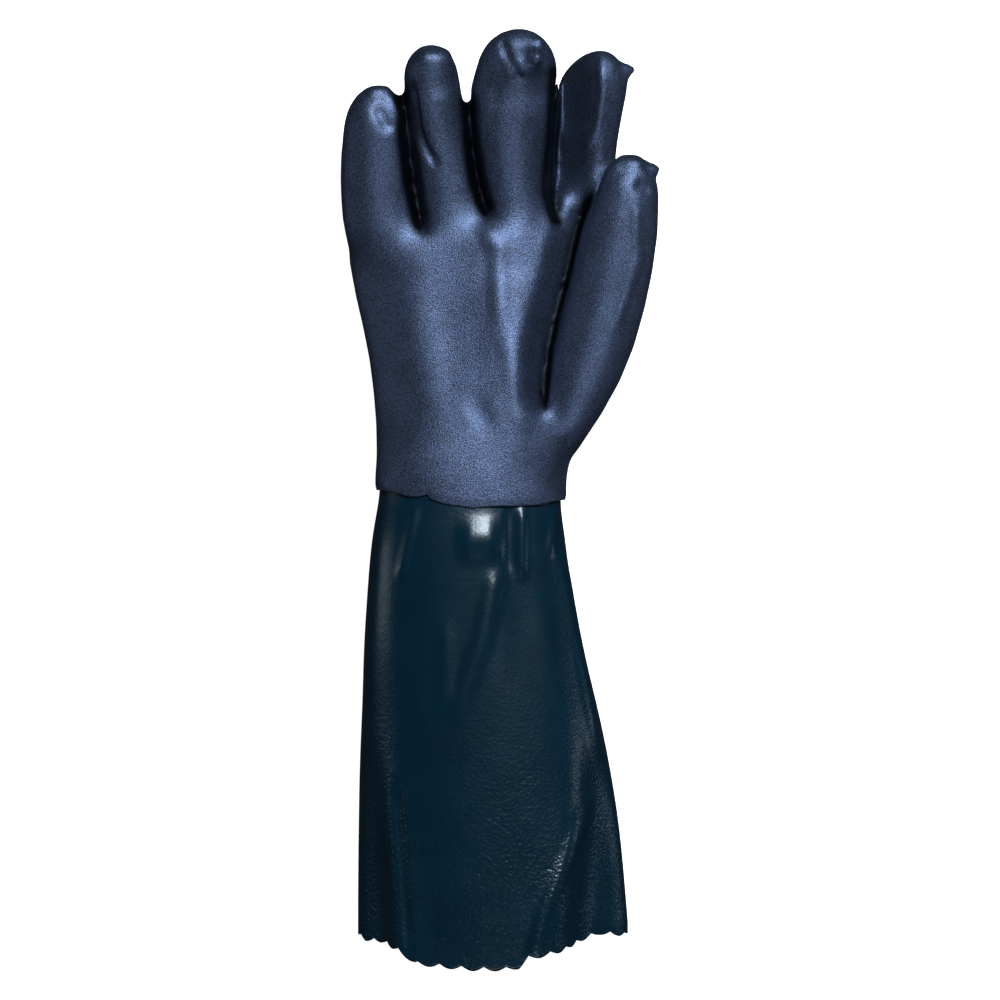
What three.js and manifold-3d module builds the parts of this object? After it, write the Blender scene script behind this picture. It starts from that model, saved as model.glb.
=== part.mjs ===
// A long coated work glove for the right hand, lying on its back with the palm up.
// The sleeve and the hand are two shells: the hand's second coat laps over the sleeve at the wrist.
// Millimetres. +X is the thumb side, +Y runs from the hem to the fingertips, +Z points up out of the palm.
import * as THREE from "three";
import { mergeVertices } from "three/addons/utils/BufferGeometryUtils.js";
import Module from "manifold-3d";

const wasm = await Module();
wasm.setup();

// Lengths along the glove
const gauntletLength = 208; // from the dip line at the wrist to the hem at the sides
const palmLength = 134; // from the dip line to the crotches between the fingers
const lapLength = 10; // how far the sleeve runs up inside the hand

// Widths and heights of the body, over the outside
const hemWidth = 132;
const hemHeight = 54;
const wristWidth = 91;
const wristHeight = 46;
const knuckleWidth = 130;
const knuckleHeight = 38;
const knuckleDrop = 7; // how much nearer the hem the palm ends at the little finger
const restDepth = 2; // how much of the back is pressed flat by what it lies on

// Walls and the joint between the two shells
const gauntletWall = 1.4;
const handWall = 1.8;
const rimWall = 1; // the hand's coat thins to this at its rim
const lapClearance = 0.3;

// The pinked hem
const scallopPitch = 9.6;
const scallopDepth = 2;
const hemSlant = 10; // how much further the hem reaches over the top than at the sides

// Fingers: how far each reaches past the crotches, and its full width
const littleLength = 63.5;
const littleWidth = 36;
const ringLength = 77;
const ringWidth = 34;
const middleLength = 81;
const middleWidth = 41;
const indexLength = 79;
const indexWidth = 33;
const thumbLength = 160; // from the dip line
const thumbWidth = 40;

const fingerClearance = 0.4; // between two fingers that press on each other

// The drops of coating that set at the fingertips
const dripWidth = 6.5;

// Mesh fineness
const hemGirth = (Math.PI / 2) * (hemWidth + hemHeight);
const scallops = Math.round(hemGirth / scallopPitch);
const bodySides = 2 * scallops;
const fingerSides = 14;
const fingerRings = 9;
const hollowSides = 10;
const hollowRings = 8;
const tipRings = 4;
const dripSides = 7;

// The body's cross-section, from the hem (along -1) over the dip line (0) to the crotches (1).
// flare is the share of the way from the wrist's width to the hem's or the knuckles' width;
// rise is the same for the height; shift moves the middle sideways, in shares of wristWidth;
// waist is how high the widest line lies, in shares of the height; square is the section's squareness.
const bodyStations = [
  { along: -1, flare: 1, rise: 1, shift: -0.035, waist: 0.2, square: 2 },
  { along: -0.88, flare: 0.95, rise: 0.93, shift: -0.045, waist: 0.21, square: 2 },
  { along: -0.74, flare: 0.87, rise: 0.8, shift: -0.058, waist: 0.23, square: 2.05 },
  { along: -0.6, flare: 0.73, rise: 0.6, shift: -0.082, waist: 0.26, square: 2.1 },
  { along: -0.46, flare: 0.53, rise: 0.4, shift: -0.111, waist: 0.3, square: 2.15 },
  { along: -0.34, flare: 0.36, rise: 0.25, shift: -0.141, waist: 0.34, square: 2.2 },
  { along: -0.22, flare: 0.2, rise: 0.1, shift: -0.158, waist: 0.38, square: 2.2 },
  { along: -0.12, flare: 0.09, rise: 0.03, shift: -0.166, waist: 0.41, square: 2.2 },
  { along: 0, flare: 0, rise: 0, shift: -0.161, waist: 0.43, square: 2.2 },
  { along: 0.18, flare: 0.08, rise: 0.1, shift: -0.135, waist: 0.44, square: 2.2 },
  { along: 0.36, flare: 0.2, rise: 0.3, shift: -0.125, waist: 0.45, square: 2.2 },
  { along: 0.54, flare: 0.38, rise: 0.55, shift: -0.122, waist: 0.46, square: 2.25 },
  { along: 0.72, flare: 0.63, rise: 0.75, shift: -0.129, waist: 0.47, square: 2.3 },
  { along: 0.86, flare: 0.82, rise: 0.9, shift: -0.126, waist: 0.48, square: 2.35 },
  { along: 1, flare: 1, rise: 1, shift: -0.12, waist: 0.49, square: 2.4 },
];

// Folds of the body: each runs from one place along the body to another, drifting round the section.
// Angles go from 0 at the thumb side over 90 on the palm to 180 at the little finger's side. spread is the
// fold's half-width in degrees, and lift its height in shares of the section's height: below 0 in a valley.
const bodyFolds = [
  { name: "right panel", from: -0.52, to: -1.3, angleFrom: 22, angleTo: 50, spread: 30, lift: -0.28 },
  { name: "right ridge", from: -0.52, to: -1.3, angleFrom: 38, angleTo: 82, spread: 15, lift: 0.08 },
  { name: "left ridge", from: -0.55, to: -1.3, angleFrom: 136, angleTo: 126, spread: 15, lift: 0.08 },
  { name: "left hollow", from: -0.55, to: -1.3, angleFrom: 152, angleTo: 144, spread: 18, lift: -0.1 },
  { name: "side crease", from: -0.02, to: -0.66, angleFrom: 36, angleTo: 14, spread: 15, lift: 0.05 },
  { name: "wrist hollow", from: 0.06, to: -0.5, angleFrom: 66, angleTo: 62, spread: 19, lift: -0.05 },
  { name: "palm ridge", from: 0.1, to: 1.05, angleFrom: 66, angleTo: 84, spread: 18, lift: 0.08 },
  { name: "palm hollow", from: 0.15, to: 0.95, angleFrom: 104, angleTo: 104, spread: 22, lift: -0.06 },
];
const foldSpill = 0.4; // how much of a fold's lift also goes sideways

// Two edge lines follow, each from the little finger's side (-1) over the palm side to the thumb's side (1).
// The dip line: how far the hand's rim hangs towards the hem, in shares of lapLength
const dipLine = [
  { across: -1, hang: -0.43 },
  { across: -0.82, hang: -0.33 },
  { across: -0.64, hang: -0.12 },
  { across: -0.49, hang: -0.14 },
  { across: -0.43, hang: 0 },
  { across: -0.26, hang: 0.24 },
  { across: 0.03, hang: 0.43 },
  { across: 0.4, hang: 0.33 },
  { across: 0.75, hang: 0.29 },
  { across: 0.87, hang: 0.14 },
  { across: 1, hang: 0.05 },
];

// The hem's line: how much further the hem reaches, in shares of hemSlant
const hemLine = [
  { across: -1, hang: 0.13 },
  { across: -0.93, hang: 0.3 },
  { across: -0.79, hang: 0.21 },
  { across: -0.68, hang: 0.43 },
  { across: -0.55, hang: 0.99 },
  { across: -0.41, hang: 1.05 },
  { across: -0.14, hang: 1.15 },
  { across: 0.1, hang: 1.15 },
  { across: 0.19, hang: 1.06 },
  { across: 0.26, hang: 0.61 },
  { across: 0.35, hang: 0.53 },
  { across: 0.54, hang: 0.29 },
  { across: 0.78, hang: -0.05 },
  { across: 0.93, hang: 0.1 },
  { across: 1, hang: 0.13 },
];

// Fingers and thumb. root is where the middle of the finger starts: across from the body's middle at the
// knuckles in shares of knuckleWidth, along from the dip line in shares of palmLength, and height in shares
// of knuckleHeight. Each station gives along and lift in shares of the length, and side, wide and deep in
// shares of the width. lean tips the section: its underside moves sideways by that share of the way down.
// tip is how far the rounded end reaches, in shares of the width. beside is the finger that presses on this
// one and dents it. drip is the way a drop points (side, ahead and up) and how far it reaches from the middle
// of the tip, in shares of the width.
const digits = [
  {
    name: "little",
    length: littleLength,
    width: littleWidth,
    root: { across: -0.335, along: 0.975, height: 0.58 },
    tip: 0.5,
    beside: "ring",
    drip: null,
    stations: [
      { along: -0.34, side: 0.08, lift: -0.05, wide: 0.95, deep: 0.8, lean: 0 },
      { along: 0, side: -0.05, lift: 0, wide: 1.04, deep: 0.9, lean: 0 },
      { along: 0.3, side: -0.1, lift: 0.09, wide: 1.02, deep: 0.86, lean: 0 },
      { along: 0.6, side: -0.1, lift: 0.19, wide: 0.95, deep: 0.8, lean: 0 },
      { along: 0.84, side: -0.09, lift: 0.27, wide: 0.84, deep: 0.76, lean: 0 },
      { along: 1, side: -0.07, lift: 0.34, wide: 0.76, deep: 0.72, lean: 0 },
    ],
  },
  {
    name: "ring",
    length: ringLength,
    width: ringWidth,
    root: { across: -0.09, along: 1, height: 0.58 },
    tip: 0.42,
    beside: "middle",
    drip: null,
    stations: [
      { along: -0.34, side: 0.08, lift: -0.04, wide: 0.84, deep: 0.8, lean: 0 },
      { along: 0, side: 0, lift: 0, wide: 0.98, deep: 0.94, lean: 0 },
      { along: 0.3, side: -0.1, lift: 0.08, wide: 0.94, deep: 0.9, lean: 0.15 },
      { along: 0.52, side: -0.18, lift: 0.17, wide: 0.86, deep: 0.88, lean: 0.4 },
      { along: 0.75, side: -0.26, lift: 0.29, wide: 0.8, deep: 0.82, lean: 0.35 },
      { along: 1, side: -0.29, lift: 0.42, wide: 0.72, deep: 0.76, lean: 0 },
    ],
  },
  {
    name: "middle",
    length: middleLength,
    width: middleWidth,
    root: { across: 0.165, along: 1, height: 0.58 },
    tip: 0.44,
    beside: null,
    drip: { side: 0.35, ahead: 0.25, up: 1, reach: 0.44 },
    stations: [
      { along: -0.34, side: 0.04, lift: -0.04, wide: 0.68, deep: 0.66, lean: 0 },
      { along: 0, side: 0, lift: 0, wide: 0.79, deep: 0.78, lean: 0 },
      { along: 0.22, side: -0.1, lift: 0.08, wide: 0.84, deep: 0.78, lean: 0 },
      { along: 0.42, side: -0.13, lift: 0.18, wide: 0.95, deep: 0.8, lean: 0 },
      { along: 0.6, side: -0.14, lift: 0.29, wide: 0.99, deep: 0.8, lean: 0 },
      { along: 0.8, side: -0.06, lift: 0.41, wide: 0.94, deep: 0.76, lean: 0 },
      { along: 1, side: 0.07, lift: 0.54, wide: 0.84, deep: 0.7, lean: 0 },
    ],
  },
  {
    name: "index",
    length: indexLength,
    width: indexWidth,
    root: { across: 0.385, along: 0.98, height: 0.55 },
    tip: 0.44,
    beside: "middle",
    drip: { side: 1, ahead: 0.15, up: 0.1, reach: 0.44 },
    stations: [
      { along: -0.34, side: -0.3, lift: -0.03, wide: 0.86, deep: 0.78, lean: 0 },
      { along: 0, side: -0.03, lift: 0, wide: 1.03, deep: 0.9, lean: 0 },
      { along: 0.26, side: -0.05, lift: 0.02, wide: 1.06, deep: 0.88, lean: 0 },
      { along: 0.5, side: -0.02, lift: 0.07, wide: 1.09, deep: 0.86, lean: 0 },
      { along: 0.75, side: 0.09, lift: 0.15, wide: 1.08, deep: 0.84, lean: 0 },
      { along: 1, side: 0.38, lift: 0.25, wide: 0.84, deep: 0.78, lean: 0 },
    ],
  },
  {
    name: "thumb",
    length: thumbLength,
    width: thumbWidth,
    root: { across: 0.2, along: 0, height: 0.55 },
    tip: 0.42,
    beside: null,
    drip: { side: 1, ahead: 0.1, up: 0.2, reach: 0.27 },
    stations: [
      { along: 0.1, side: 0.04, lift: 0, wide: 0.56, deep: 0.6, lean: 0 },
      { along: 0.22, side: 0.38, lift: 0.015, wide: 0.66, deep: 0.7, lean: 0 },
      { along: 0.31, side: 0.53, lift: 0.035, wide: 0.79, deep: 0.76, lean: 0 },
      { along: 0.41, side: 0.67, lift: 0.065, wide: 0.92, deep: 0.82, lean: 0 },
      { along: 0.52, side: 0.81, lift: 0.1, wide: 0.95, deep: 0.82, lean: 0 },
      { along: 0.64, side: 0.93, lift: 0.14, wide: 0.93, deep: 0.8, lean: 0 },
      { along: 0.76, side: 1.03, lift: 0.175, wide: 0.88, deep: 0.76, lean: 0 },
      { along: 0.87, side: 1.1, lift: 0.205, wide: 0.77, deep: 0.7, lean: 0 },
      { along: 1, side: 1.18, lift: 0.23, wide: 0.56, deep: 0.6, lean: 0 },
    ],
  },
];

// A smooth value from a table: column at a place, where key names the column of the places, in rising order
function fromTable(rows, key, place, column) {
  const last = rows.length - 1;
  const clamped = THREE.MathUtils.clamp(place, rows[0][key], rows[last][key]);
  let i = 0;
  while (i < last - 1 && rows[i + 1][key] < clamped) i++;
  const slope = (j) => {
    const [before, after] = [rows[Math.max(j - 1, 0)], rows[Math.min(j + 1, last)]];
    return (after[column] - before[column]) / (after[key] - before[key]);
  };
  const span = rows[i + 1][key] - rows[i][key];
  const t = (clamped - rows[i][key]) / span;
  const [a, b] = [rows[i][column], rows[i + 1][column]];
  return (
    a * (1 + 2 * t) * (1 - t) ** 2 +
    b * (3 - 2 * t) * t ** 2 +
    slope(i) * span * t * (1 - t) ** 2 -
    slope(i + 1) * span * t ** 2 * (1 - t)
  );
}

// A bell that is 1 at 0 and 0 from 1 on
const bell = (x) => (Math.abs(x) < 1 ? (0.5 + 0.5 * Math.cos(Math.PI * x)) : 0);

// How far the folds lift the body's surface, as a share of the section's height
function foldLift(along, degrees) {
  let lift = 0;
  for (const fold of bodyFolds) {
    const t = (along - fold.from) / (fold.to - fold.from);
    if (t <= 0 || t >= 1) continue;
    const middle = THREE.MathUtils.lerp(fold.angleFrom, fold.angleTo, t);
    lift += fold.lift * Math.sin(Math.PI * t) * bell((degrees - middle) / fold.spread);
  }
  return lift;
}

// Points spaced evenly along a closed line of straight pieces
function spacedEvenly(line, count) {
  const gone = [0];
  line.forEach((point, i) => gone.push(gone[i] + point.distanceTo(line[(i + 1) % line.length])));
  let i = 0;
  return Array.from({ length: count }, (_, k) => {
    const place = (gone.at(-1) * k) / count;
    while (gone[i + 1] < place) i++;
    return line[i].clone().lerp(line[(i + 1) % line.length], (place - gone[i]) / (gone[i + 1] - gone[i]));
  });
}

// The sizes of the body's section at a place along the glove
function sizesAt(y) {
  const along = y < 0 ? y / gauntletLength : y / palmLength;
  const at = (column) => fromTable(bodyStations, "along", along, column);
  const [farWidth, farHeight] = y < 0 ? [hemWidth, hemHeight] : [knuckleWidth, knuckleHeight];
  const height = THREE.MathUtils.lerp(wristHeight, farHeight, at("rise"));
  return {
    along,
    height,
    middle: at("shift") * wristWidth,
    halfWidth: THREE.MathUtils.lerp(wristWidth, farWidth, at("flare")) / 2,
    waist: at("waist") * height,
    power: 2 / at("square"),
  };
}

// The body's section: points in the XZ plane, evenly spaced round it, moved in by inset
function section(y, inset) {
  const { along, height, middle, halfWidth, waist, power } = sizesAt(y);
  const bend = (value) => Math.sign(value) * Math.abs(value) ** power;
  const outline = [];
  for (let degrees = 180; degrees > -180; degrees -= 2) {
    const angle = THREE.MathUtils.degToRad(degrees);
    const [c, s] = [Math.cos(angle), Math.sin(angle)];
    const lift = foldLift(along, degrees) * height;
    const reach = s > 0 ? height - waist : waist + restDepth;
    const x = middle + halfWidth * bend(c) + foldSpill * lift * c;
    outline.push(new THREE.Vector2(x, Math.max(waist + reach * bend(s) + lift * Math.max(s, 0), 0)));
  }
  const even = spacedEvenly(outline, bodySides);
  return even.map((point, i) => {
    const way = even[(i + 1) % bodySides].clone().sub(even.at(i - 1)).normalize();
    return new THREE.Vector2(point.x + way.y * inset, point.y - way.x * inset);
  });
}

// The body's surface: the place at share u round the section, from the little finger's side over the palm
const sections = new Map();
function bodyPoint(u, y, inset) {
  const key = y.toFixed(3) + "," + inset.toFixed(3);
  if (!sections.has(key)) sections.set(key, section(y, inset));
  const points = sections.get(key);
  const place = (((u % 1) + 1) % 1) * bodySides;
  const i = Math.floor(place + 1e-9);
  const point = points[i % bodySides].clone().lerp(points[(i + 1) % bodySides], Math.max(place - i, 0));
  return new THREE.Vector3(point.x, y, point.y);
}

// How far an edge line hangs at share u round the section at y; under the glove it runs straight across
function hangAt(line, u, y) {
  const { middle, halfWidth, waist } = sizesAt(y);
  const point = bodyPoint(u, y, 0);
  const across = THREE.MathUtils.clamp((point.x - middle) / halfWidth, -1, 1);
  if (point.z >= waist) return fromTable(line, "across", across, "hang");
  return THREE.MathUtils.lerp(line[0].hang, line.at(-1).hang, (across + 1) / 2);
}

// A closed mesh built up from rings of points, bands between them and fans at the ends
class Skin {
  constructor() {
    this.points = [];
    this.faces = [];
  }

  ring(points) {
    const first = this.points.length;
    this.points.push(...points);
    return points.map((_, i) => first + i);
  }

  // Faces between two rings, where the second has as many points as the first or a whole multiple of them
  band(from, to, flipped = false) {
    const steps = to.length / from.length;
    const turn = Math.max(Math.floor(steps / 2), 1);
    const faces = from.flatMap((a, i) => {
      const b = from[(i + 1) % from.length];
      const row = Array.from({ length: steps + 1 }, (_, k) => to[(i * steps + k) % to.length]);
      const spokes = row.slice(1).map((next, k) => [k < turn ? a : b, next, row[k]]);
      return [...spokes, [a, b, row[turn]]];
    });
    this.faces.push(...(flipped ? faces.map((face) => face.toReversed()) : faces));
  }

  // Faces from a ring to one point, which close the start of a row of rings, or its end where flipped
  fan(ring, point, flipped = false) {
    const [middle] = this.ring([point]);
    ring.forEach((a, i) => {
      const b = ring[(i + 1) % ring.length];
      this.faces.push(flipped ? [middle, a, b] : [middle, b, a]);
    });
  }

  geometry() {
    const geometry = new THREE.BufferGeometry();
    const places = this.points.flatMap((point) => point.toArray());
    geometry.setAttribute("position", new THREE.Float32BufferAttribute(places, 3));
    geometry.setIndex(this.faces.flat());
    return geometry;
  }
}

// Solids for the cuts and joins, and the way back to a geometry
const weld = 1e-4; // points nearer than this are one
function solid(geometry) {
  const merged = mergeVertices(geometry, weld);
  const mesh = new wasm.Mesh({
    numProp: 3,
    vertProperties: merged.attributes.position.array,
    triVerts: new Uint32Array(merged.index.array),
  });
  return new wasm.Manifold(mesh);
}

function geometryOf(made) {
  const mesh = made.getMesh();
  const geometry = new THREE.BufferGeometry();
  geometry.setAttribute("position", new THREE.BufferAttribute(mesh.vertProperties, 3));
  geometry.setIndex(new THREE.BufferAttribute(mesh.triVerts, 1));
  return geometry;
}

// The sleeve: an open tube from a collar inside the hand to the pinked hem.
// Each row's place is lap in shares of lapLength plus along in shares of gauntletLength, from the dip line
// towards the fingers. sunk is how much of collarDepth the row lies inside the body's surface.
const collarDepth = handWall + lapClearance;
const sleeveRows = [
  { lap: 1, along: 0, sunk: 1 },
  { lap: 0, along: 0, sunk: 1 },
  { lap: -0.5, along: 0, sunk: 1 },
  { lap: -0.8, along: 0, sunk: 0.35 },
  { lap: -0.8, along: -0.045, sunk: 0.12 },
  { lap: 0, along: -0.16, sunk: 0 },
  { lap: 0, along: -0.23, sunk: 0 },
  { lap: 0, along: -0.31, sunk: 0 },
  { lap: 0, along: -0.39, sunk: 0 },
  { lap: 0, along: -0.47, sunk: 0 },
  { lap: 0, along: -0.56, sunk: 0 },
  { lap: 0, along: -0.65, sunk: 0 },
  { lap: 0, along: -0.74, sunk: 0 },
  { lap: 0, along: -0.82, sunk: 0 },
  { lap: 0, along: -0.89, sunk: 0 },
];
function gauntletGeometry() {
  const around = Array.from({ length: bodySides }, (_, i) => i / bodySides);
  const hemAround = Array.from({ length: 2 * bodySides }, (_, i) => i / (2 * bodySides));
  const hemY = (u) => {
    const scallop = scallopDepth * (1 - Math.abs(Math.sin(Math.PI * scallops * u)));
    return -gauntletLength - hemSlant * hangAt(hemLine, u, -gauntletLength) + scallop;
  };
  const skin = new Skin();
  const wall = (inset) => [
    ...sleeveRows.map((row) => {
      const y = row.lap * lapLength + row.along * gauntletLength;
      return skin.ring(around.map((u) => bodyPoint(u, y, row.sunk * collarDepth + inset)));
    }),
    skin.ring(hemAround.map((u) => bodyPoint(u, -gauntletLength, inset).setY(hemY(u)))),
  ];
  const [outer, inner] = [wall(0), wall(gauntletWall)];
  for (let i = 1; i < outer.length; i++) {
    skin.band(outer[i - 1], outer[i], true);
    skin.band(inner[i - 1], inner[i]);
  }
  skin.band(outer[0], inner[0]);
  skin.band(outer.at(-1), inner.at(-1), true);
  return skin.geometry();
}

const bodyMiddle = sizesAt(palmLength).middle;

// The palm's rings: shares of the way from the end of the lap to endStart, then of the rounded end past it
const palmRings = [0.1, 0.25, 0.4, 0.55, 0.7, 0.85, 1];
const endRings = [0.35, 0.65, 0.87, 1];
const endStart = 0.85 * palmLength;
const endReach = 0.98 * palmLength;
const endNarrowing = 0.12; // how much of its width the palm loses in the rounded end

// The palm as a closed body; inset gives the hollow inside it, which runs out past the rim by reach
function palmSolid(inset, reach) {
  const around = Array.from({ length: bodySides }, (_, i) => i / bodySides);
  const rimY = (u) => -lapLength * hangAt(dipLine, u, 0);
  const skin = new Skin();
  const rings = [];
  if (reach) {
    for (const y of [-reach, 0, lapLength]) rings.push(skin.ring(around.map((u) => bodyPoint(u, y, inset))));
  } else {
    rings.push(skin.ring(around.map((u) => bodyPoint(u, 0, handWall - rimWall).setY(rimY(u)))));
    rings.push(skin.ring(around.map((u) => bodyPoint(u, 0, 0).setY(rimY(u) + lapLength / 2))));
  }
  for (const share of palmRings) {
    const y = THREE.MathUtils.lerp(lapLength, endStart, share);
    rings.push(skin.ring(around.map((u) => bodyPoint(u, y, inset))));
  }
  // The end between the fingers is rounded more under the knuckles than over the palm
  const axis = knuckleHeight / 2;
  for (const share of endRings) {
    const [over, under] = [Math.sqrt(1 - 0.9 * share ** 5), Math.sqrt(1 - 0.9 * share ** 2)];
    const ring = around.map((u) => {
      const point = bodyPoint(u, endStart, inset);
      const across = (point.x - bodyMiddle) * (1 - endNarrowing + endNarrowing * over);
      const towardsLittle = THREE.MathUtils.clamp((-2 * across) / knuckleWidth, 0, 1);
      const y = endStart + (endReach - inset - endStart) * share - knuckleDrop * share * towardsLittle;
      const above = point.z - axis;
      return new THREE.Vector3(bodyMiddle + across, y, axis + above * (above > 0 ? over : under));
    });
    rings.push(skin.ring(ring));
  }
  for (let i = 1; i < rings.length; i++) skin.band(rings[i - 1], rings[i]);
  const middleOf = (ring) =>
    ring.reduce((sum, i) => sum.add(skin.points[i]), new THREE.Vector3()).divideScalar(ring.length);
  skin.fan(rings[0], middleOf(rings[0]));
  skin.fan(rings.at(-1), middleOf(rings.at(-1)), true);
  return solid(skin.geometry());
}

// A finger's middle line, and the directions across and up from it at a place on it
function digitPath(digit) {
  const points = digit.stations.map(
    (station) =>
      new THREE.Vector3(
        bodyMiddle + digit.root.across * knuckleWidth + station.side * digit.width,
        digit.root.along * palmLength + station.along * digit.length,
        digit.root.height * knuckleHeight + station.lift * digit.length,
      ),
  );
  return new THREE.CatmullRomCurve3(points, false, "centripetal");
}

function directionsAt(path, place) {
  const forward = path.getTangentAt(place);
  const across = new THREE.Vector3(1, 0, 0).addScaledVector(forward, -forward.x).normalize();
  return { forward, across, up: across.clone().cross(forward) };
}

// A finger as a closed body: rings up to where the rounded tip starts, then closer ones round the tip.
// Its sides are moved in by inset, or out where inset is negative.
function digitSolid(digit, inset) {
  const [sides, steps] = inset > 0 ? [hollowSides, hollowRings] : [fingerSides, fingerRings];
  const path = digitPath(digit);
  const length = path.getLength();
  const tipInset = Math.max(inset, 0);
  const tipLength = digit.tip * digit.width;
  const tipStart = length - tipLength;
  const places = Array.from({ length: steps }, (_, i) => (tipStart * i) / (steps - 1));
  for (let i = 1; i <= tipRings; i++) {
    places.push(tipStart + (tipLength - tipInset) * Math.sin((Math.PI / 2) * (i / (tipRings + 0.6))));
  }
  const skin = new Skin();
  const rings = places.map((place) => {
    const middle = path.getPointAt(place / length);
    const { across, up } = directionsAt(path, place / length);
    const along = (middle.y - digit.root.along * palmLength) / digit.length;
    const at = (column) => fromTable(digit.stations, "along", along, column);
    const intoTip = Math.max(place - tipStart, 0) / (tipLength - tipInset);
    const round = Math.sqrt(1 - intoTip ** 2);
    const halfWidth = ((at("wide") * digit.width) / 2 - inset) * round;
    const halfDepth = ((at("deep") * digit.width) / 2 - inset) * round;
    return skin.ring(
      Array.from({ length: sides }, (_, i) => {
        const angle = (-2 * Math.PI * i) / sides;
        const rise = halfDepth * Math.sin(angle);
        const aside = halfWidth * Math.cos(angle) + at("lean") * Math.min(rise, 0);
        return middle.clone().addScaledVector(across, aside).addScaledVector(up, rise);
      }),
    );
  });
  for (let i = 1; i < rings.length; i++) skin.band(rings[i - 1], rings[i]);
  skin.fan(rings[0], path.getPointAt(0));
  skin.fan(rings.at(-1), path.getPointAt((length - tipInset) / length), true);
  return solid(skin.geometry());
}

// The same finger, dented where the one beside it presses on it
function dentedDigit(digit, inset) {
  const body = digitSolid(digit, inset);
  const beside = digits.find((other) => other.name === digit.beside);
  return beside ? body.subtract(digitSolid(beside, -fingerClearance - inset)) : body;
}

// The drop at a fingertip: a short blunt cone rooted inside the tip. Its outline gives the radius in shares
// of dripWidth and the height in shares of its reach.
const dripOutline = [
  { radius: 0, height: 0 },
  { radius: 0.55, height: 0 },
  { radius: 0.5, height: 0.8 },
  { radius: 0.42, height: 0.93 },
  { radius: 0.22, height: 1 },
  { radius: 0, height: 1 },
];
function dripSolid(digit) {
  const path = digitPath(digit);
  const place = 1 - (0.5 * digit.tip * digit.width) / path.getLength();
  const root = path.getPointAt(place);
  const { forward, across, up } = directionsAt(path, place);
  const { drip } = digit;
  const reach = drip.reach * digit.width;
  const outline = dripOutline.map((row) => new THREE.Vector2(row.radius * dripWidth, row.height * reach));
  const cone = new THREE.LatheGeometry(outline, dripSides);
  const way = new THREE.Vector3()
    .addScaledVector(forward, drip.ahead)
    .addScaledVector(across, drip.side)
    .addScaledVector(up, drip.up)
    .normalize();
  cone.applyQuaternion(new THREE.Quaternion().setFromUnitVectors(new THREE.Vector3(0, 1, 0), way));
  cone.translate(root.x, root.y, root.z);
  cone.deleteAttribute("normal");
  cone.deleteAttribute("uv");
  return solid(cone);
}

// The hand: palm, fingers and thumb in one seamless shell, open at the wrist
function handGeometry() {
  const skins = digits.map((digit) => dentedDigit(digit, 0));
  const drips = digits.filter((digit) => digit.drip).map(dripSolid);
  const hollows = digits.map((digit) => dentedDigit(digit, handWall));
  const outside = [...skins, ...drips].reduce((sum, next) => sum.add(next), palmSolid(0, 0));
  const inside = hollows.reduce((sum, next) => sum.add(next), palmSolid(handWall, lapLength));
  return geometryOf(outside.subtract(inside));
}

const handCoat = new THREE.MeshStandardMaterial({ color: 0x1f2636, roughness: 0.6, metalness: 0.1 });
const sleeveCoat = new THREE.MeshStandardMaterial({ color: 0x03222c, roughness: 0.25, metalness: 0 });

const hand = new THREE.Mesh(handGeometry(), handCoat);
hand.name = "hand_shell";
const gauntlet = new THREE.Mesh(gauntletGeometry(), sleeveCoat);
gauntlet.name = "gauntlet";

// The origin is under the middle of the glove's footprint
const glove = new THREE.Group();
glove.add(hand, gauntlet);
const box = new THREE.Box3().setFromObject(glove);
const centre = box.getCenter(new THREE.Vector3());
glove.position.set(-centre.x, -centre.y, -box.min.z);

export default glove;
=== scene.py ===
# %% [markdown]
# # A long coated work glove
#
# The glove lies on its back with the palm up. Two coats make it: a glossy dark teal sleeve, and a matt navy
# coat with a sandy grain over the hand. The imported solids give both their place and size, and this lesson
# dresses each with a finer skin that has the folds, dents and drops of the real coating.

import bmesh
import bpy
import numpy as np
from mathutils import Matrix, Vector
from mathutils.bvhtree import BVHTree


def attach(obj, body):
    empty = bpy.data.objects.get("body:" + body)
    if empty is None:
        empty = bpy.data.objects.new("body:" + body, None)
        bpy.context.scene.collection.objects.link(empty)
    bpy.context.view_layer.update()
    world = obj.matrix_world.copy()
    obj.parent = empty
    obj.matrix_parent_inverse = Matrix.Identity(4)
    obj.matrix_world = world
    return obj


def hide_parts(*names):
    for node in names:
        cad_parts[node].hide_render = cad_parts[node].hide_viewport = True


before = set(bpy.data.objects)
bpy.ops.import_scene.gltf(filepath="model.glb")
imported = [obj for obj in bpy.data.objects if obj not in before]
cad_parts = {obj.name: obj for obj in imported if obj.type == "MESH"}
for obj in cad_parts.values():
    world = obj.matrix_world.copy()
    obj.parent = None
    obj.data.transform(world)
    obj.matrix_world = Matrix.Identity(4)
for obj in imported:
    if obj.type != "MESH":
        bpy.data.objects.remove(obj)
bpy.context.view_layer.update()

MM = 0.001

# %% [markdown]
# ## Where the camera stands
#
# The photograph looks straight down. Its lens and height turn a place on the glove into a place on the
# picture, so a fold can be drawn where it shows: in pixels of a picture 1000 wide and 1000 high.

# %% The camera
CAMERA_HEIGHT = 1100 * MM
LENS = 81.1
SENSOR = 36
PICTURE = 1000
AIM = (1.1 * MM, 0.6 * MM)

camera_data = bpy.data.cameras.new("camera")
camera_data.lens = LENS
camera_data.sensor_width = SENSOR
camera = bpy.data.objects.new("camera", camera_data)
camera.location = (*AIM, CAMERA_HEIGHT)
bpy.context.scene.collection.objects.link(camera)
bpy.context.scene.camera = camera


def on_picture(points):
    """Where points in metres show on the picture, in pixels from its upper left corner."""
    scale = PICTURE * LENS / SENSOR / (CAMERA_HEIGHT - points[:, 2])
    across = PICTURE / 2 + (points[:, 0] - AIM[0]) * scale
    down = PICTURE / 2 - (points[:, 1] - AIM[1]) * scale
    return np.stack([across, down], axis=1)


print("The camera is", CAMERA_HEIGHT, "m over the floor")

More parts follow.
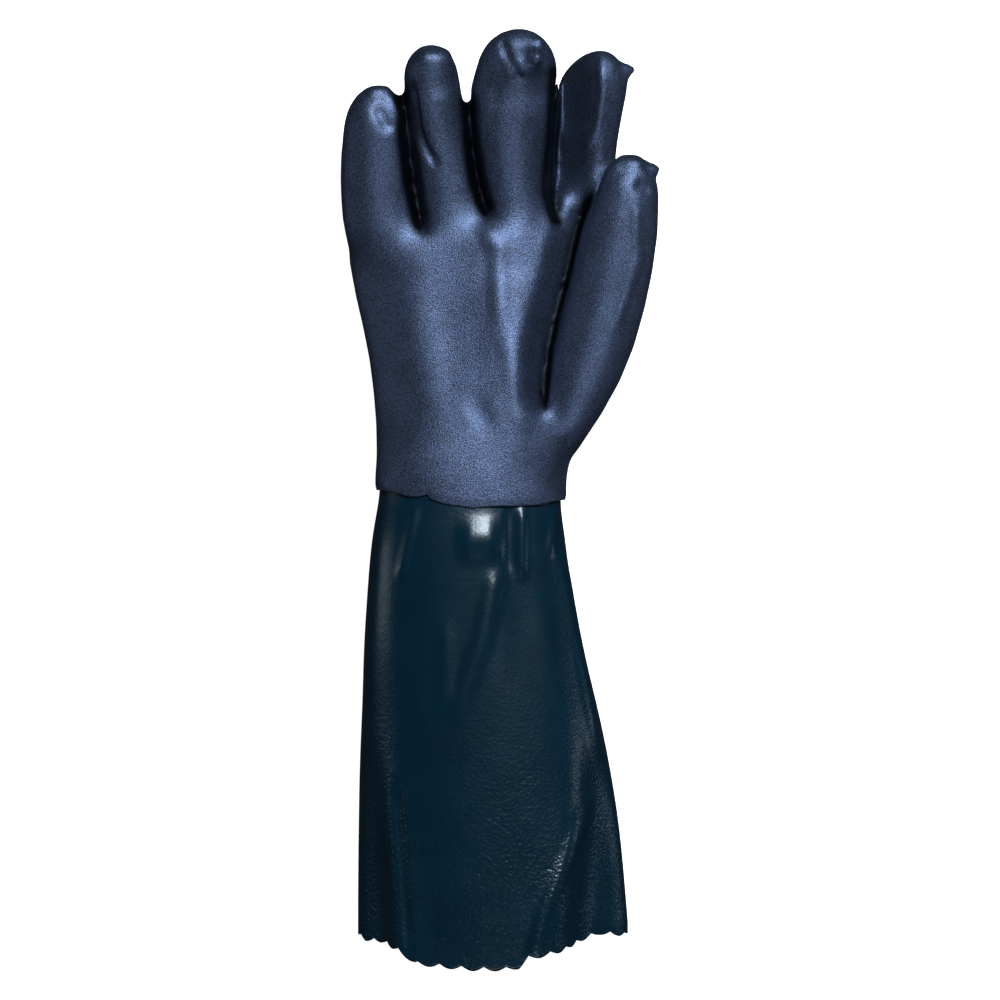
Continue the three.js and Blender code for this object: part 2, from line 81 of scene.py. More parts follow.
# %% [markdown]
# ## Strokes
#
# A soft coated fabric shows ridges, valleys and creases. Each is a stroke: a line of picture places, a half
# width in pixels and a height in millimetres, below 0 for a valley. Where a stroke passes, the skin moves
# along its own normal, and the move fades out to the stroke's sides and ends.


# %% How a stroke moves the skin
# The width in pixels of the edge of a stroke that acts on one side: 1 is the right of a line drawn downwards
EDGE = 5
# How far a face has to lean up, as its normal's Z, for a stroke down or along the normal to act in full
STEEP = 0.05
SLANTED = 0.3


def smooth(values):
    """0 up to 0, 1 from 1 on, and a soft step between."""
    t = np.clip(values, 0, 1)
    return t * t * (3 - 2 * t)


def stroke_weight(places, line, half_width, fade, side=0):
    """How strongly a stroke acts on each place: 1 on its line, 0 from half_width on, or on one side alone."""
    line = np.array(line, float)
    steps = np.linalg.norm(np.diff(line, axis=0), axis=1)
    gone = np.concatenate([[0], np.cumsum(steps)])
    nearest = np.full(len(places), 1e9)
    along = np.zeros(len(places))
    beside = np.zeros(len(places))
    for i, step in enumerate(steps):
        way = (line[i + 1] - line[i]) / step
        t = np.clip((places - line[i]) @ way, 0, step)
        distance = np.linalg.norm(places - line[i] - t[:, None] * way, axis=1)
        closer = distance < nearest
        nearest[closer] = distance[closer]
        along[closer] = gone[i] + t[closer]
        beside[closer] = ((places - line[i]) @ (way[1], -way[0]))[closer]
    ends = smooth(along / fade) * smooth((gone[-1] - along) / fade)
    sides = smooth(side * beside / EDGE + 0.5) if side else 1
    return smooth(1 - nearest / half_width) * ends * sides


def coordinates(mesh, kind="places"):
    """The places or the normals of a mesh's points, as an array."""
    values = np.empty(3 * len(mesh.vertices))
    if kind == "normals":
        mesh.vertex_normals.foreach_get("vector", values)
    else:
        mesh.vertices.foreach_get("co", values)
    return values.reshape(-1, 3)


def put(mesh, points):
    """Give a mesh's points new places, but none under the table."""
    points[:, 2] = np.maximum(points[:, 2], 0)
    mesh.vertices.foreach_set("co", points.ravel())
    mesh.update()


def stroke(mesh, line, half_width, height, fade=20, down=False, side=0, through=False):
    """Move a mesh's upper side along a line, out of the skin or straight down, or its lower side too."""
    points = coordinates(mesh)
    normals = coordinates(mesh, "normals")
    weight = stroke_weight(on_picture(points), line, half_width, fade, side)
    way = np.array([[0, 0, 1]]) if down else normals
    upper = 1 if through else smooth(normals[:, 2] / (STEEP if down else SLANTED))
    put(mesh, points + way * (weight * upper * height * MM)[:, None])


def lowered(mesh, line, half_width, share, fade=20):
    """Press a mesh towards the table along a line, by a share of its height."""
    points = coordinates(mesh)
    points[:, 2] *= 1 - share * stroke_weight(on_picture(points), line, half_width, fade)
    put(mesh, points)


print("A stroke on one side has an edge of", EDGE, "pixels")


# %% [markdown]
# ## The sleeve's skin
#
# The sleeve is a tube: a circle extruded ring by ring from the collar inside the hand to the hem. Each point
# is then cast inwards onto the solid sleeve, so the fine tube has the solid's place and size, and a blur
# takes the solid's flat facets away. An even tube has its quads in line with the hem, so the pinked edge
# comes out crisp, which a remeshed skin couldn't give.

# %% The solid to cast onto
def merged_copy(node):
    """A bmesh of a solid's skin, with its loose triangles joined."""
    skin = bmesh.new()
    skin.from_mesh(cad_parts[node].data)
    bmesh.ops.remove_doubles(skin, verts=skin.verts, dist=0.002 * MM)
    return skin


sleeve_solid = merged_copy("gauntlet")
sleeve_target = BVHTree.FromBMesh(sleeve_solid)
print("The solid sleeve has", len(sleeve_solid.faces), "faces")

# %% Rings cast onto the solid
SEGMENTS = 300
COLLAR_Y = 9 * MM
LAST_Y = -204 * MM
RING_STEP = 1.75 * MM
CASTS = 720
FAR = 0.2
SIDE_Z = 12 * MM


def hit(start, way):
    """Where a ray first meets the solid sleeve."""
    place = sleeve_target.ray_cast(Vector(start), Vector(way))[0]
    return np.array(place)


def ring_at(y):
    """Points spaced evenly round the solid's section, from the little finger's side over the palm side."""
    left = hit((-FAR, y, SIDE_Z), (1, 0, 0))[0]
    right = hit((FAR, y, SIDE_Z), (-1, 0, 0))[0]
    middle = (left + right) / 2
    top = hit((middle, y, FAR), (0, 0, -1))[2]
    centre = np.array([middle, y, top / 2])
    angles = np.pi - np.arange(CASTS) * 2 * np.pi / CASTS
    ways = np.stack([np.cos(angles) * (right - left), np.zeros(CASTS), np.sin(angles) * top], axis=1)
    outline = np.array([hit(centre + way, -way / np.linalg.norm(way)) for way in ways])
    outline = np.roll(outline, -int(np.argmin(outline[:, 0])), axis=0)
    closed = np.vstack([outline, outline[:1]])
    gone = np.concatenate([[0], np.cumsum(np.linalg.norm(np.diff(closed, axis=0), axis=1))])
    even = np.arange(SEGMENTS) * gone[-1] / SEGMENTS
    return np.stack([np.interp(even, gone, closed[:, axis]) for axis in range(3)], axis=1)


ring_places = np.arange(COLLAR_Y, LAST_Y, -RING_STEP)
rings = np.array([ring_at(y) for y in ring_places])
print(len(rings), "rings of", SEGMENTS, "points")

# %% The blur that takes the facets away
# The reach of the blur round a ring and along the sleeve, in points
ROUND_BLUR = 3.5
LENGTH_BLUR = 4


def blurred(values, sigma, axis, closed):
    """Values blurred along one axis, which is a closed ring or has two ends."""
    reach = int(3 * sigma)
    weights = np.exp(-0.5 * (np.arange(-reach, reach + 1) / sigma) ** 2)
    pad = [(0, 0)] * values.ndim
    pad[axis] = (reach, reach)
    how = {"mode": "wrap"} if closed else {"mode": "reflect", "reflect_type": "odd"}
    padded = np.pad(values, pad, **how)
    count = values.shape[axis]
    pieces = [np.take(padded, range(i, i + count), axis) * weight for i, weight in enumerate(weights)]
    return sum(pieces) / weights.sum()


faceted = rings[:, :, [0, 2]]
rings[:, :, [0, 2]] = blurred(blurred(faceted, ROUND_BLUR, 1, True), LENGTH_BLUR, 0, False)
print("The blur moved a point by up to", round(abs(rings[:, :, [0, 2]] - faceted).max() / MM, 2), "mm")

# %% [markdown]
# ## The pinked hem
#
# The hem is cut with a scalloped blade: small round lobes with sharp notches between them. It hangs lowest
# over the top panel and steps up where the right panel falls away.

# %% The hem's line
SCALLOPS = 30
SCALLOP_DEPTH = 2 * MM
HEM_ROWS = 9
HEM_Y = -206.9 * MM
# How far the hem reaches past its highest line: across the top panel, in mm, and round the lower side
HEM_ACROSS = [-1, -0.93, -0.79, -0.68, -0.55, -0.41, -0.14, 0.1, 0.19, 0.26, 0.35, 0.54, 0.78, 0.93, 1]
HEM_REACH = [1.3, 3, 2.1, 4.3, 9.9, 10.5, 11.5, 11.5, 10.6, 6.1, 5.3, 2.9, -0.5, 1, 1.3]
LOWER_REACH = 1.3
TOP_PANEL_Z = 11 * MM

last = rings[-1]
hem_middle = (last[:, 0].max() + last[:, 0].min()) / 2
hem_half = (last[:, 0].max() - last[:, 0].min()) / 2
across = (last[:, 0] - hem_middle) / hem_half
on_top = last[:, 2] > TOP_PANEL_Z
reach = np.where(on_top, np.interp(across, HEM_ACROSS, HEM_REACH), LOWER_REACH) * MM
share = np.arange(SEGMENTS) / SEGMENTS
notch = SCALLOP_DEPTH * (1 - np.abs(np.sin(np.pi * SCALLOPS * share)))
hem_y = HEM_Y - reach + notch
hem_rings = []
for row in range(1, HEM_ROWS + 1):
    t = row / HEM_ROWS
    ring = last.copy()
    ring[:, 1] = last[:, 1] + (hem_y - last[:, 1]) * t
    hem_rings.append(ring)
rings = np.concatenate([rings, hem_rings])
print("The hem reaches from", round(hem_y.max() / MM, 1), "to", round(hem_y.min() / MM, 1), "mm")


# %% The tube
def tube(name, places):
    """A tube extruded ring by ring, with each ring's points put in place."""
    skin = bmesh.new()
    count = places.shape[1]
    edges = bmesh.ops.create_circle(skin, segments=count, radius=1)["verts"]
    for point, place in zip(edges, places[0]):
        point.co = place
    open_edges = list(skin.edges)
    for ring in places[1:]:
        made = bmesh.ops.extrude_edge_only(skin, edges=open_edges)["geom"]
        points = [item for item in made if isinstance(item, bmesh.types.BMVert)]
        open_edges = [item for item in made if isinstance(item, bmesh.types.BMEdge) and item.is_boundary]
        for point, place in zip(points, ring):
            point.co = place
    skin.verts.ensure_lookup_table()
    bmesh.ops.recalc_face_normals(skin, faces=skin.faces)
    mesh = bpy.data.meshes.new(name)
    skin.to_mesh(mesh)
    skin.free()
    return mesh


sleeve_mesh = tube("sleeve_skin", rings)
print("The tube has", len(sleeve_mesh.polygons), "faces")

# %% [markdown]
# ## The sleeve's folds
#
# The wrist gathers the smooth coat into short ridges, two long folds run down from it, and a soft fold stands
# at each side of the hem. Sculpting could make them too, but a short list of strokes can be read and changed.

# %% The folds as strokes
stroke(sleeve_mesh, [(452, 540), (508, 540)], 30, 2.0, 20)
stroke(sleeve_mesh, [(509, 500), (508, 580)], 8, -0.8)
stroke(sleeve_mesh, [(522, 500), (522, 585)], 9, 1.5)
stroke(sleeve_mesh, [(500, 560), (482, 640), (452, 730)], 16, 1.4, 30)
stroke(sleeve_mesh, [(418, 500), (398, 585)], 8, 0.8)
stroke(sleeve_mesh, [(556, 498), (550, 560)], 7, 1.0, 15)
stroke(sleeve_mesh, [(447, 610), (443, 730)], 14, 0.8, 40)
stroke(sleeve_mesh, [(560, 540), (578, 640), (600, 770)], 9, 1.2, 50)
stroke(sleeve_mesh, [(395, 770), (402, 870), (410, 970)], 8, -1.5, 40)
stroke(sleeve_mesh, [(590, 790), (567, 860), (543, 915), (530, 970)], 12, 1.5, 30)
print("The folded sleeve is", round(coordinates(sleeve_mesh)[:, 2].max() / MM, 1), "mm high")


# %% The sleeve's wall
def wrapped(mesh, name, thickness):
    """An object for a skin, with a wall on its inner side."""
    mesh.shade_smooth()
    piece = bpy.data.objects.new(name, mesh)
    bpy.context.scene.collection.objects.link(piece)
    wall = piece.modifiers.new("wall", "SOLIDIFY")
    wall.thickness = thickness
    wall.offset = -1
    wall.use_quality_normals = True
    return piece


SLEEVE_WALL = 1.2 * MM
sleeve = wrapped(sleeve_mesh, "sleeve", SLEEVE_WALL)
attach(sleeve, "root")
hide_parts("gauntlet")
print("The sleeve's wall is", SLEEVE_WALL / MM, "mm")

# %% [markdown]
# ## The hand's skin
#
# Palm, fingers and thumb are one coat without a seam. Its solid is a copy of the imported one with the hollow
# left out and the wrist closed, remeshed into even quads. A remesh suits it better than a tube, because five
# fingers grow out of one body.

# %% The outer skin alone
CUT_Y = 12 * MM
RIM_END_Y = -6 * MM
hand_skin = merged_copy("hand_shell")


def cut_off(skin, y):
    """Cut a skin straight across, and drop what lies nearer the hem."""
    everything = skin.verts[:] + skin.edges[:] + skin.faces[:]
    bmesh.ops.bisect_plane(
        skin, geom=everything, plane_co=(0, y, 0), plane_no=(0, -1, 0), clear_outer=True
    )


def island_of(start):
    """All the points that are joined to one point."""
    found = {start}
    edge_of_search = [start]
    while edge_of_search:
        point = edge_of_search.pop()
        for edge in point.link_edges:
            other = edge.other_vert(point)
            if other not in found:
                found.add(other)
                edge_of_search.append(other)
    return found


cut_off(hand_skin, CUT_Y)
outer = island_of(max(hand_skin.verts, key=lambda point: point.co.z))
bmesh.ops.delete(hand_skin, geom=[point for point in hand_skin.verts if point not in outer], context="VERTS")
rim = [edge for edge in hand_skin.edges if edge.is_boundary]
made = bmesh.ops.extrude_edge_only(hand_skin, edges=rim)["geom"]
rim_points = [item for item in made if isinstance(item, bmesh.types.BMVert)]
bmesh.ops.translate(hand_skin, verts=rim_points, vec=(0, RIM_END_Y - CUT_Y, 0))
bmesh.ops.holes_fill(hand_skin, edges=[edge for edge in hand_skin.edges if edge.is_boundary])
bmesh.ops.recalc_face_normals(hand_skin, faces=hand_skin.faces)
hand_block = bpy.data.meshes.new("hand_block")
hand_skin.to_mesh(hand_block)
hand_skin.free()
print("The closed hand has", len(hand_block.vertices), "points")


# %% [markdown]
# ## The slits between the fingers
#
# Where two fingers press on each other only a hair's width is left between them, and a remesh would tear it
# into beads. The skin is puffed up a little first, which closes the slits, and let down again afterwards.

# %% The slits closed
def moved(mesh, steps):
    """Move each point of a mesh by its own step."""
    points = coordinates(mesh) + steps
    mesh.vertices.foreach_set("co", points.ravel())
    mesh.update()


def puffed(mesh, distance):
    """Move a mesh's skin outwards all over, or inwards where the distance is under 0."""
    moved(mesh, coordinates(mesh, "normals") * distance)


SLIT = 0.5 * MM
puffed(hand_block, SLIT)
print("The skin is puffed up by", SLIT / MM, "mm")

# %% Even quads
# The first skin is fine, and the last one coarse enough for the hand to keep under 200,000 triangles
FINE = 1.1 * MM
EVEN = 1.48 * MM
BLOCK_PASSES = 16
LAST_PASSES = 3
SOFTENING = {"factor": 0.5, "use_axis_x": True, "use_axis_y": True, "use_axis_z": True}


def smoothed(mesh, passes, chosen=None):
    """Smooth a mesh in place, all over or only at the chosen points."""
    skin = bmesh.new()
    skin.from_mesh(mesh)
    points = skin.verts[:] if chosen is None else [point for point, take in zip(skin.verts, chosen) if take]
    for _ in range(passes):
        bmesh.ops.smooth_vert(skin, verts=points, **SOFTENING)
    skin.to_mesh(mesh)
    skin.free()
    mesh.update()


def even_quads(mesh, size, passes):
    """A mesh remeshed into even quads of one size, and then smoothed."""
    block = bpy.data.objects.new("block", mesh)
    bpy.context.scene.collection.objects.link(block)
    remesh = block.modifiers.new("even", "REMESH")
    remesh.mode = "VOXEL"
    remesh.voxel_size = size
    made = bpy.data.meshes.new_from_object(block.evaluated_get(bpy.context.evaluated_depsgraph_get()))
    bpy.data.objects.remove(block)
    smoothed(made, passes)
    return made


hand_mesh = even_quads(hand_block, FINE, BLOCK_PASSES)
puffed(hand_mesh, -SLIT)
print("The hand's first skin has", len(hand_mesh.polygons), "faces")

# %% [markdown]
# ## Knuckles and grooves
#
# The palm flows into the fingers without a step, so the skin over the knuckles is raised and then smoothed for
# long. Between the fingers and beside the thumb it goes straight down. Quads pulled that far turn into slivers,
# so the skin is remeshed once more, and then cut open again at the wrist.

# %% Knuckles
KNUCKLES_AT = (465, 236)
KNUCKLES_HALF = (118, 48)
KNUCKLE_PASSES = 130
FACING_UP = 0.2
stroke(hand_mesh, [(350, 232), (600, 232)], 30, 0.9, 40, down=True)
stroke(hand_mesh, [(465, 224), (545, 226)], 34, 2.8, 30, down=True)
seen = on_picture(coordinates(hand_mesh))
knuckles = (abs(seen - KNUCKLES_AT) < KNUCKLES_HALF).all(axis=1)
knuckles &= coordinates(hand_mesh, "normals")[:, 2] > FACING_UP
smoothed(hand_mesh, KNUCKLE_PASSES, knuckles)
print("Points smoothed over the knuckles:", int(knuckles.sum()))

# %% Grooves
LITTLE_GAP = [(399, 75), (404, 140), (409, 180), (415, 210), (422, 240)]
RING_GAP = [(466, 90), (469, 140), (474, 178), (480, 200), (489, 222)]
MIDDLE_GAP = [(554, 120), (550, 165), (548, 190), (553, 212), (562, 230)]
THUMB_GAP = [(600, 180), (586, 215), (579, 240), (571, 275), (562, 310), (553, 350), (545, 425)]
stroke(hand_mesh, LITTLE_GAP, 15, -10, 25, True, 1)
stroke(hand_mesh, RING_GAP, 15, -12, 16, True, 1)
stroke(hand_mesh, MIDDLE_GAP, 15, -8, 30, True, 1)
stroke(hand_mesh, THUMB_GAP, 36, -11, 40, True, -1)
# The index finger is turned, so its left side leans away all through
stroke(hand_mesh, [(560, 10), (560, 80), (556, 140), (553, 215)], 48, -20, 55, True, 1, through=True)

# %% The last skin, open at the wrist
hand_mesh = even_quads(hand_mesh, EVEN, LAST_PASSES)
opened = bmesh.new()
opened.from_mesh(hand_mesh)
cut_off(opened, 0)
opened.to_mesh(hand_mesh)
opened.free()
print("The hand's skin has", len(hand_mesh.polygons), "faces")

# %% [markdown]
# ## Drops at the tips
#
# The glove hangs by its sleeve to drip, so the last of the coat sets as a small drop at three fingertips. Each
# is pulled out of the skin, because a separate cone would show its seam.

# %% Three drops
# The normal's Z under which a face is hidden from the camera, and a distance no pixel has
HIDDEN = -0.3
NOWHERE = 1000
DROP_STEEPNESS = 1.5
DROP_PASSES = 5
DROP_FOOT = 1.3


def drop(mesh, place, way, radius, length):
    """Pull a small drop out of the skin that shows at one picture place."""
    points = coordinates(mesh)
    seen = on_picture(points)
    upper = coordinates(mesh, "normals")[:, 2] > HIDDEN
    off = np.linalg.norm(seen - place, axis=1) + np.where(upper, 0, NOWHERE)
    root = points[np.argmin(off)]
    far = np.linalg.norm(points - root, axis=1) / (radius * MM)
    pull = smooth(DROP_STEEPNESS * (1 - far)) * length * MM
    moved(mesh, pull[:, None] * np.array(Vector(way).normalized()))
    smoothed(mesh, DROP_PASSES, far < DROP_FOOT)


drop(hand_mesh, (540, 44), (0.5, 0.4, 1), 4.5, 2.6)
drop(hand_mesh, (628, 65), (1, 0.15, 0.1), 4.5, 4)
drop(hand_mesh, (653, 167), (1, 0.1, 0.2), 5, 4)
print("The hand is now", round(np.ptp(coordinates(hand_mesh)[:, 0]) / MM, 1), "mm wide")

# %% [markdown]
# ## The dip line
#
# The hand is dipped a second time up to the wrist, and the coat's edge runs in small waves where it stopped.
# The rim's points move to that line, and sink a little so that the coat thins out to its edge.

# %% The dip line
# The edge of the second coat, as places on the picture
DIP_X = [375, 392, 409, 423, 427, 429, 445, 472, 500, 520, 540, 552, 565]
DIP_Y = [490, 492, 497, 496, 494, 499, 504, 508, 506, 506, 505, 502, 500]
RIM_BAND = 9 * MM
RIM_SINK = 0.4 * MM
SINK_WIDTH = 3 * MM
# Round the lower side the line is straight, and it takes its waves from the first height over a second
WAVES_FROM = 12 * MM
WAVES_OVER = 10 * MM
points = coordinates(hand_mesh)
normals = coordinates(hand_mesh, "normals")
near = points[:, 1] < RIM_BAND
seen = on_picture(points)
line = np.interp(seen[:, 0], DIP_X, DIP_Y)
under = np.interp(seen[:, 0], [DIP_X[0], DIP_X[-1]], [DIP_Y[0], DIP_Y[-1]])
line = under + (line - under) * smooth((points[:, 2] - WAVES_FROM) / WAVES_OVER)
scale = (CAMERA_HEIGHT - points[:, 2]) * SENSOR / PICTURE / LENS
dip = AIM[1] + (PICTURE / 2 - line) * scale
points[:, 1] += np.where(near, dip * smooth((RIM_BAND - points[:, 1]) / RIM_BAND), 0)
sink = RIM_SINK * smooth(1 - (points[:, 1] - dip) / SINK_WIDTH)
put(hand_mesh, points - normals * np.where(near, sink, 0)[:, None])
print("Points near the dip line:", int(near.sum()))

# %% [markdown]
# ## The hand's folds
#
# The liner wrinkles where the hand would bend it, and the thick coat keeps each wrinkle as a soft ridge or
# dent. The fingertips have crests where the liner under the coat is sewn shut.

# %% The hand's folds
# Palm: a long ridge, the ball of the hand, two hollows and the flanks
stroke(hand_mesh, [(478, 212), (498, 250), (500, 335)], 15, 1.2, 30)
stroke(hand_mesh, [(505, 320), (520, 395), (526, 440)], 18, 0.9, 30)
stroke(hand_mesh, [(468, 385), (492, 440)], 17, -0.9, 30)
lowered(hand_mesh, [(340, 230), (350, 330), (362, 400), (368, 475)], 85, 0.2, 70)
stroke(hand_mesh, [(575, 420), (556, 505)], 18, -2.0, 30)
# Middle finger: the tip's crest, the bend below it and the crease on its left
stroke(hand_mesh, [(500, 66), (556, 60)], 18, 2.2, 14)
stroke(hand_mesh, [(478, 96), (558, 90)], 26, -2.4, 20, down=True)
stroke(hand_mesh, [(500, 36), (508, 58), (522, 84)], 7, -1.5, 8)
stroke(hand_mesh, [(530, 51), (540, 54), (549, 47)], 4, -0.7, 4)
# Ring finger: the crest and the bend, and the fold of its left side
stroke(hand_mesh, [(414, 58), (456, 56)], 13, 1.6, 12)
stroke(hand_mesh, [(406, 84), (470, 82)], 22, -1.8, 16, down=True)
stroke(hand_mesh, [(411, 75), (418, 130), (425, 148), (440, 172)], 7, -2.2, 18)
# Little finger: the crest that runs down its right side, and the dent under the tip
stroke(hand_mesh, [(364, 92), (386, 90), (398, 112), (403, 130)], 7, 1.2, 10)
stroke(hand_mesh, [(374, 102), (392, 135)], 11, -1.6, 12)
# Index finger: the edge between its dark flank and its lit side
stroke(hand_mesh, [(600, 48), (603, 96), (597, 130), (578, 160)], 7, 1.0, 20)
# Thumb: the crest at its tip, the dent under the drop, and the long ridge
stroke(hand_mesh, [(600, 178), (622, 160), (650, 166)], 9, 1.4, 14)
stroke(hand_mesh, [(632, 182), (656, 192)], 12, -1.8, 10)
stroke(hand_mesh, [(636, 195), (638, 260), (628, 290), (612, 335)], 9, 1.2, 25)
print("The folded hand is", round(coordinates(hand_mesh)[:, 2].max() / MM, 1), "mm high")

# %% [markdown]
# ## Painted shade in the gaps
#
# Deep in a gap hardly any light gets in, so the colour there is darkened as painted shade. An attribute on the
# skin's
# # points says how deep in a gap they are, and the navy finish darkens its colour by it. It follows the
# fingers, which a pattern in space wouldn't.

# %% The painted gap shade as an attribute
# The gap weight, raised by this gain, sets how far the colour is darkened: painted shade
GAP_SHADE_GAIN = 1.6
COUNTED = 0.3
seen = on_picture(coordinates(hand_mesh))
gap_shade_weight = np.maximum.reduce([
    stroke_weight(seen, LITTLE_GAP, 13, 20),
    stroke_weight(seen, RING_GAP, 13, 14),
    stroke_weight(seen, [(556, 60)] + MIDDLE_GAP, 13, 14),
    stroke_weight(seen, THUMB_GAP, 16, 30, -1),
])
gap_shade_attribute = hand_mesh.attributes.new("gap_painted_shade", "FLOAT", "POINT")
gap_shade_attribute.data.foreach_set("value", np.clip(gap_shade_weight * GAP_SHADE_GAIN, 0, 1))
print("Points in the gaps:", int((gap_shade_weight > COUNTED).sum()))

# %% The hand's wall
HAND_WALL = 1.0 * MM
hand = wrapped(hand_mesh, "coated_hand", HAND_WALL)
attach(hand, "root")
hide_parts("hand_shell")
print("The hand's wall is", HAND_WALL / MM, "mm")

# %% [markdown]
# ## Finishes
#
# Each finish is a network of shader nodes. A small class wraps a socket, so that a sum written in Python adds
# the Math nodes for it, and another adds any other node with its settings and inputs.


# %% Sums on sockets
class Number:
    """A socket's value, which sums can be written with."""

    def __init__(self, finish, socket):
        self.finish = finish
        self.socket = socket

    def sum(self, operation, first, second):
        """A Math node for two values."""
        return self.finish.add("ShaderNodeMath", {"operation": operation}, {0: first, 1: second})

    def __add__(self, other):
        return self.sum("ADD", self, other)

    def __sub__(self, other):
        return self.sum("SUBTRACT", self, other)

    def __rsub__(self, other):
        return self.sum("SUBTRACT", other, self)

    def __mul__(self, other):
        return self.sum("MULTIPLY", self, other)

    __radd__ = __add__
    __rmul__ = __mul__


class Finish:
    """A material that is built up node by node."""

    def __init__(self, name):
        self.material = bpy.data.materials.new(name)
        self.material.use_nodes = True
        self.tree = self.material.node_tree
        self.tree.nodes.clear()
        self.places = self.add("ShaderNodeTexCoord", {}, {}, "Object")

    def add(self, kind, settings, inputs, output=0):
        """Any node: its settings first, and then the values or links of its sockets."""
        node = self.tree.nodes.new(kind)
        for name, value in settings.items():
            setattr(node, name, value)
        for name, value in inputs.items():
            if isinstance(value, Number):
                self.tree.links.new(value.socket, node.inputs[name])
            else:
                node.inputs[name].default_value = value
        return Number(self, node.outputs[output])

    def grain(self, size):
        """Soft noise whose lumps are about size across, from 0 to 1."""
        inputs = {"Vector": self.places, "Scale": 1 / size, "Detail": 2.0}
        return self.add("ShaderNodeTexNoise", {}, inputs)

    def step(self, value, low, high):
        """0 where a value is under low, 1 where it is over high."""
        settings = {"interpolation_type": "SMOOTHSTEP"}
        return self.add("ShaderNodeMapRange", settings, {"Value": value, "From Min": low, "From Max": high})

    def blend(self, factor, first, second):
        """One colour blended into another."""
        inputs = {"Factor": factor, 6: first, 7: second}
        return self.add("ShaderNodeMix", {"data_type": "RGBA"}, inputs, 2)

    def part(self, axis):
        """One of a place's coordinates."""
        return self.add("ShaderNodeSeparateXYZ", {}, {0: self.places}, "XYZ".index(axis))

    def relief(self, height, depth):
        """A normal for a height field that is depth deep."""
        return self.add("ShaderNodeBump", {}, {"Height": height, "Distance": depth})

    def finished(self, inputs):
        """The surface, and its link to the output."""
        surface = self.add("ShaderNodeBsdfPrincipled", {}, inputs)
        output = self.tree.nodes.new("ShaderNodeOutputMaterial")
        self.tree.links.new(surface.socket, output.inputs["Surface"])
        return self.material


def coat_with(piece, material):
    """Give a piece one material, and no other."""
    piece.data.materials.clear()
    piece.data.materials.append(material)
    print(piece.name, "is coated with", material.name, "of", len(material.node_tree.nodes), "nodes")


# %% [markdown]
# ## The navy coat
#
# The second coat is matt, with a fine sandy grain that gives it grip. The grain catches the light point by
# # point, so it is in the colour and in the relief. Only a metallic surface darkens so steeply where it turns
# # away from the light as this one does, so the coat is mostly metallic, though the real one is plastic. Deep
# in
# # the gaps between the fingers its colour is darkened towards black, as painted shade.

# %% The navy coat's nodes
GRAIN_DARK = (0.028, 0.034, 0.052, 1)
GRAIN_BRIGHT = (0.12, 0.15, 0.26, 1)
# The near black that the colour is blended to deep in the gaps: painted shade
GAP_PAINTED_SHADE = (0.0015, 0.002, 0.004, 1)
navy = Finish("navy_sandy_coat")
sand = navy.grain(0.55 * MM)
clouds = navy.grain(14 * MM)
grains = navy.step(sand + clouds * 0.15, 0.38, 0.84)
gap_painted_shade = navy.add("ShaderNodeAttribute", {"attribute_name": "gap_painted_shade"}, {}, "Fac")
coat = navy.blend(grains, GRAIN_DARK, GRAIN_BRIGHT)
hand_finish = navy.finished({
    # Painted shade: the colour goes towards near black by the gap attribute
    "Base Color": navy.blend(gap_painted_shade * 0.97, coat, GAP_PAINTED_SHADE),
    "Roughness": 0.4 + 0.12 * sand,
    "Metallic": 0.85,
    "Normal": navy.relief(sand, 0.2 * MM),
})
coat_with(hand, hand_finish)

# %% [markdown]
# ## The teal coat
#
# The first coat is smooth and glossy at the wrist, and gets a pebbled grain towards the hem. The pebbles are
# relief alone, because its colour is one deep teal all over.

# %% The teal coat's nodes
TEAL_DARK = (0.0003, 0.0085, 0.017, 1)
TEAL_BRIGHT = (0.0005, 0.0155, 0.029, 1)
PEBBLED_Y = -200 * MM
SMOOTH_Y = -60 * MM
teal = Finish("teal_glossy_coat")
along = teal.part("Y")
towards_hem = 1 - teal.step(along, PEBBLED_Y, SMOOTH_Y)
pebble = teal.grain(1.6 * MM)
sleeve_finish = teal.finished({
    "Base Color": teal.blend(teal.grain(20 * MM), TEAL_DARK, TEAL_BRIGHT),
    "Specular IOR Level": 0.35,
    "Roughness": 0.25 + 0.08 * teal.grain(9 * MM),
    "Normal": teal.relief(pebble * (0.2 + 0.8 * towards_hem), 0.42 * MM),
})
coat_with(sleeve, sleeve_finish)

# %% [markdown]
# ## The studio
#
# A white table and soft lights. The main light stands beyond the fingertips, so that it shows in the sleeve
# only where a fold leans towards it. The table glows white for the camera alone, and so leaves the glove's
# flanks dark.

# %% The table
TABLE_HALF = 12
TABLE_DROP = 0.2 * MM
table = bmesh.new()
bmesh.ops.create_grid(table, x_segments=1, y_segments=1, size=TABLE_HALF)
table_mesh = bpy.data.meshes.new("table")
table.to_mesh(table_mesh)
table.free()
floor = bpy.data.objects.new("table", table_mesh)
floor.location.z = -TABLE_DROP
bpy.context.scene.collection.objects.link(floor)
paper = Finish("white_paper")
floor.data.materials.append(paper.finished({
    "Base Color": (0.85, 0.85, 0.85, 1),
    "Roughness": 0.9,
    "Emission Color": (1, 1, 1, 1),
    "Emission Strength": 1.0,
}))
floor.visible_diffuse = False
floor.visible_glossy = False
print("The table lies", TABLE_DROP / MM, "mm under the glove")

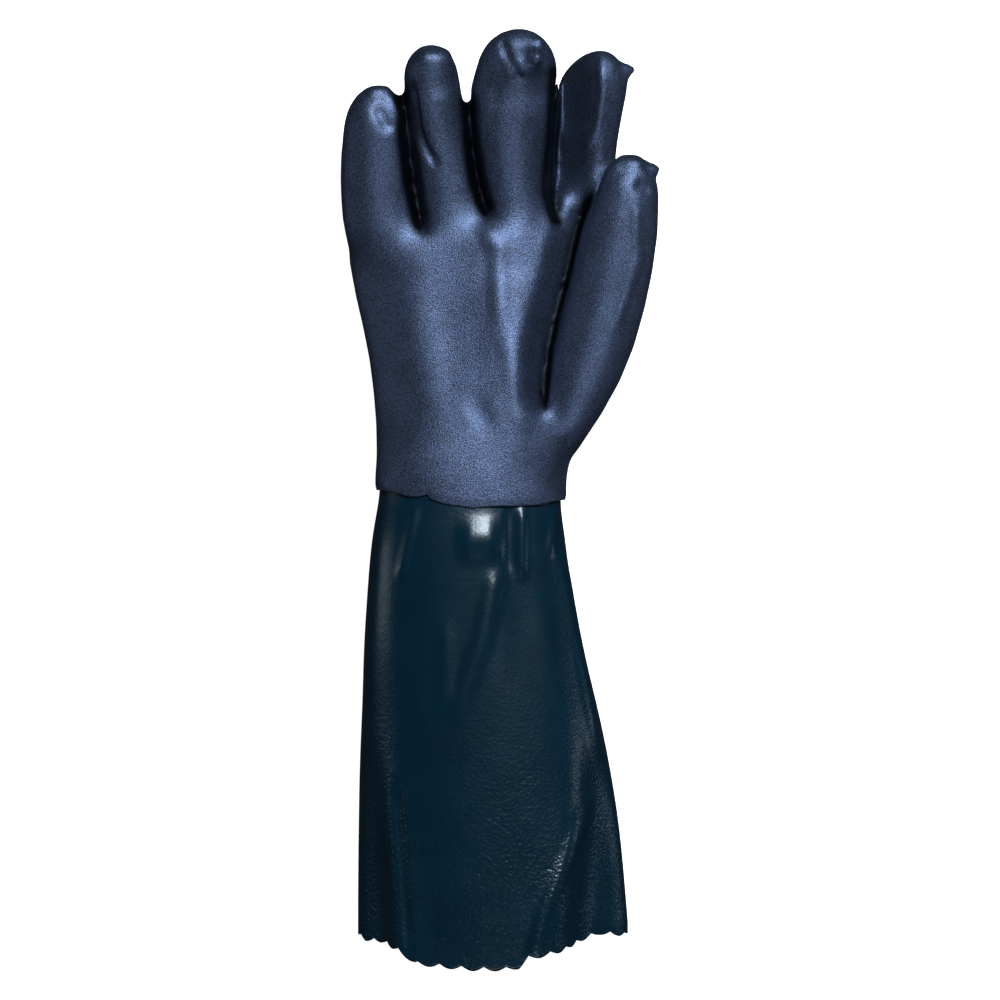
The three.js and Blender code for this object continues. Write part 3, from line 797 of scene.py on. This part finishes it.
# %% The lights
COOL = (0.76, 0.9, 1)
THUMB_PLACE = Vector((0.052, 0.105, 0.06))


def hung(name, kind, settings, place, aim):
    """A light of one kind at a place, turned to what it lights."""
    light = bpy.data.lights.new(name, kind)
    for setting, value in settings.items():
        setattr(light, setting, value)
    light.color = COOL
    lamp = bpy.data.objects.new(name, light)
    lamp.location = place
    lamp.rotation_euler = (Vector(aim) - Vector(place)).to_track_quat("-Z", "Y").to_euler()
    bpy.context.scene.collection.objects.link(lamp)
    print("The", name, "gives", light.energy, "W")


def soft_light(name, place, aim, size, power):
    """A rectangle of light."""
    settings = {"shape": "RECTANGLE", "size": size[0], "size_y": size[1], "energy": power}
    hung(name, "AREA", settings, place, aim)


soft_light("key", (0.32, 0.82, 1.35), (0, 0.05, 0.03), (0.4, 0.4), 36)
soft_light("fill", (0.1, -1.1, 1.0), (0, 0.1, 0.03), (0.8, 0.3), 4)
soft_light("left strip", (-1.2, 0.0, 0.2), (0, 0, 0.03), (0.06, 0.5), 0.8)
soft_light("right strip", (1.2, -0.15, 0.2), (0, -0.15, 0.03), (0.06, 0.5), 0.8)
# The thumb leans towards the wrist, so it gets a small light of its own
spot = {"spot_size": 0.14, "spot_blend": 1, "shadow_soft_size": 0.1, "energy": 30}
hung("thumb light", "SPOT", spot, THUMB_PLACE + Vector((0.1, -0.77, 1.04)), THUMB_PLACE)

# %% The room
# The room is dim for the glove, and white where the camera sees it
DIM = 0.03
world = bpy.data.worlds.new("studio")
world.use_nodes = True
background = world.node_tree.nodes["Background"]
background.inputs["Color"].default_value = (1, 1, 1, 1)
looked_at = world.node_tree.nodes.new("ShaderNodeLightPath")
brightness = world.node_tree.nodes.new("ShaderNodeMapRange")
brightness.inputs["To Min"].default_value = DIM
brightness.inputs["To Max"].default_value = 1
world.node_tree.links.new(looked_at.outputs["Is Camera Ray"], brightness.inputs["Value"])
world.node_tree.links.new(brightness.outputs["Result"], background.inputs["Strength"])
bpy.context.scene.world = world
bpy.context.scene.view_settings.view_transform = "Standard"
print("The glove sees a room of strength", DIM)
